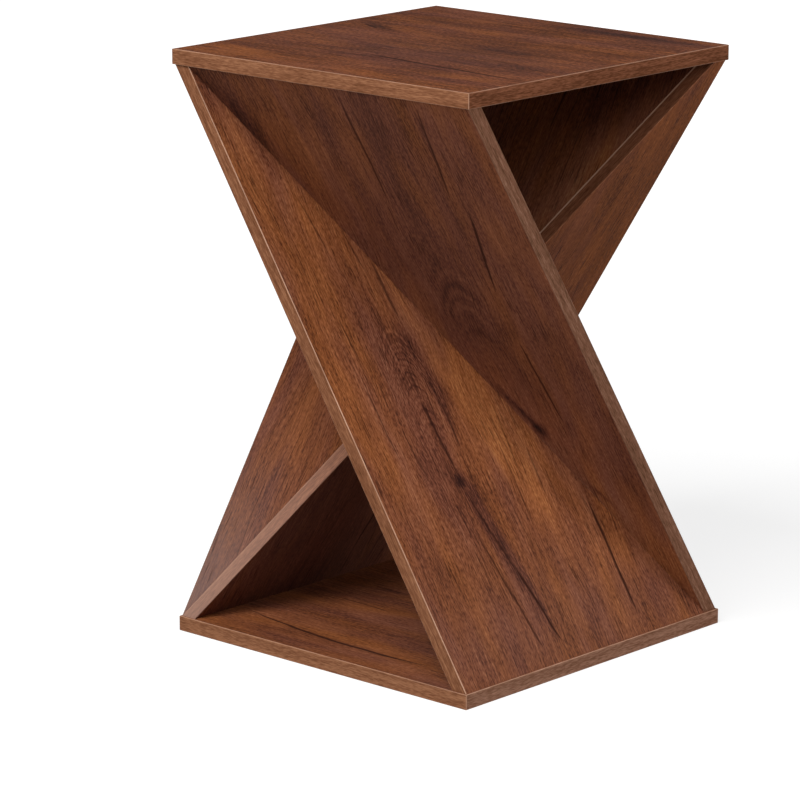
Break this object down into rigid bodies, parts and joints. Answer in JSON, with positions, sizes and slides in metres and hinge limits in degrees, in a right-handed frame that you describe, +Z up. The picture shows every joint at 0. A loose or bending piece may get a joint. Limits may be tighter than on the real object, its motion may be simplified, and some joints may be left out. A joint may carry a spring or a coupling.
{
  "type": "twisted side table",
  "caption": "Square side table of dark walnut laminate: flat top and base joined by crossed, folded pairs of slanted boards, with open niches above the base and under the top.",
  "frame": {"origin": "centre of the base's underside, on the floor", "axes": "+Z up; X along the side of the top that carries the front upper leg, -Y towards that side, +X towards the foot of the front lower leg"},
  "size_m": [0.381, 0.381, 0.5842],
  "materials": {
    "top_laminate": "satin printed walnut",
    "base_laminate": "satin printed walnut",
    "leg_laminate": "satin printed walnut",
    "edge_band": "satin printed walnut",
    "dowel_wood": "plain beech",
    "screw_steel": "zinc plated"
  },
  "bodies": {
    "root": {"top_panel": "top_laminate", "top_band_front": "edge_band", "top_band_back": "edge_band", "top_band_left": "edge_band", "top_band_right": "edge_band", "base_panel": "base_laminate", "base_band_front": "edge_band", "base_band_back": "edge_band", "base_band_left": "edge_band", "base_band_right": "edge_band", "front_lower_leg": "leg_laminate", "front_upper_leg": "leg_laminate", "front_lower_side_band": "edge_band", "front_lower_fold_band": "edge_band", "front_upper_side_band": "edge_band", "front_top_dowels": "dowel_wood", "front_base_dowels": "dowel_wood", "front_fold_dowels": "dowel_wood", "front_base_screws": "screw_steel", "rear_lower_leg": "leg_laminate", "rear_upper_leg": "leg_laminate", "rear_lower_side_band": "edge_band", "rear_lower_fold_band": "edge_band", "rear_upper_side_band": "edge_band", "rear_top_dowels": "dowel_wood", "rear_base_dowels": "dowel_wood", "rear_fold_dowels": "dowel_wood", "rear_base_screws": "screw_steel"}
  },
  "joints": []
}
